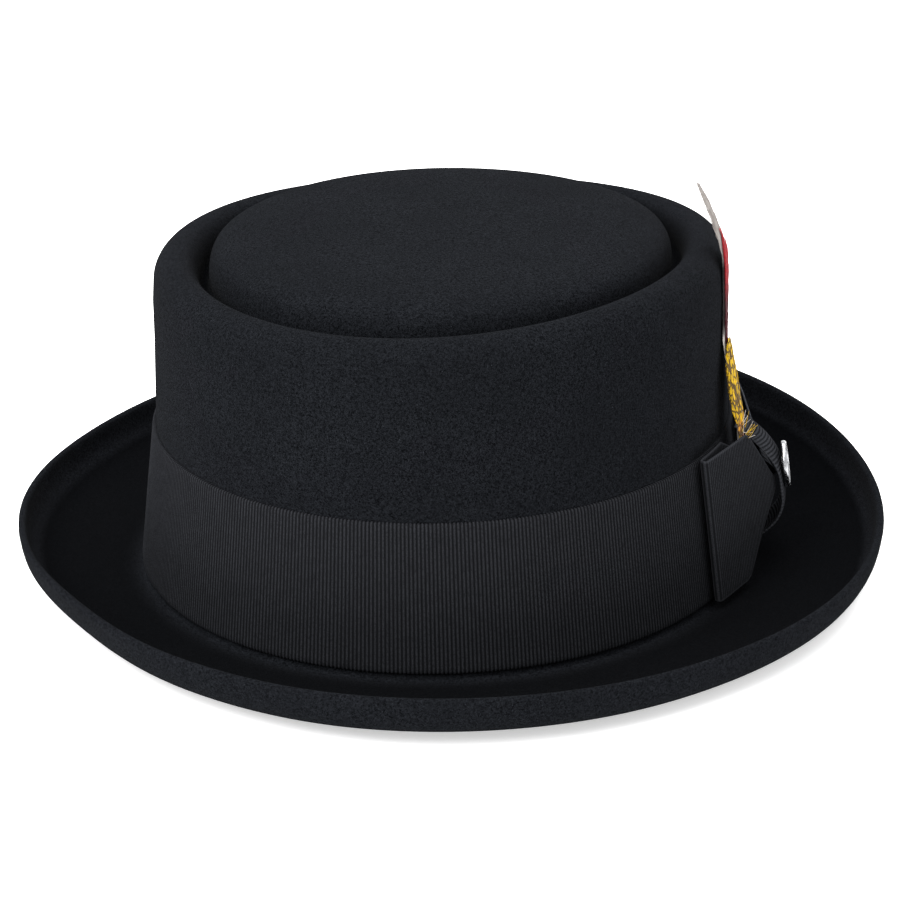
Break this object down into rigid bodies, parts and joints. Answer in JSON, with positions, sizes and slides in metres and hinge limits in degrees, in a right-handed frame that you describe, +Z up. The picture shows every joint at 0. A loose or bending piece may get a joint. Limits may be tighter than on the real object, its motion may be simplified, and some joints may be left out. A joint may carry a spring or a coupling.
{
  "type": "porkpie hat",
  "caption": "Black wool felt porkpie hat with a flat creased crown, a short upturned brim, a ribbon band and a side bow with a round pin and short feathers.",
  "frame": {"origin": "under the middle of the brim's outline, on the surface that the hat lies on", "axes": "+Z up through the crown, -Y towards the front of the hat, +X towards the wearer's left, where the bow is"},
  "size_m": [0.2524, 0.2902, 0.1121],
  "materials": {
    "felt": "short-napped black wool felt",
    "ribbon": "ribbed black ribbon with a low sheen",
    "feather_grey": "soft grey-white vane",
    "feather_red": "dyed red vane",
    "feather_yellow": "yellow vane with dark brown bars",
    "pin": "polished silver-coloured metal"
  },
  "bodies": {
    "root": {"felt_body": "felt", "hat_band": "ribbon", "bow_front_loop": "ribbon", "bow_rear_loop": "ribbon", "bow_knot": "ribbon", "feather_grey": "feather_grey", "feather_red": "feather_red", "feather_yellow": "feather_yellow", "pin": "pin"}
  },
  "joints": []
}
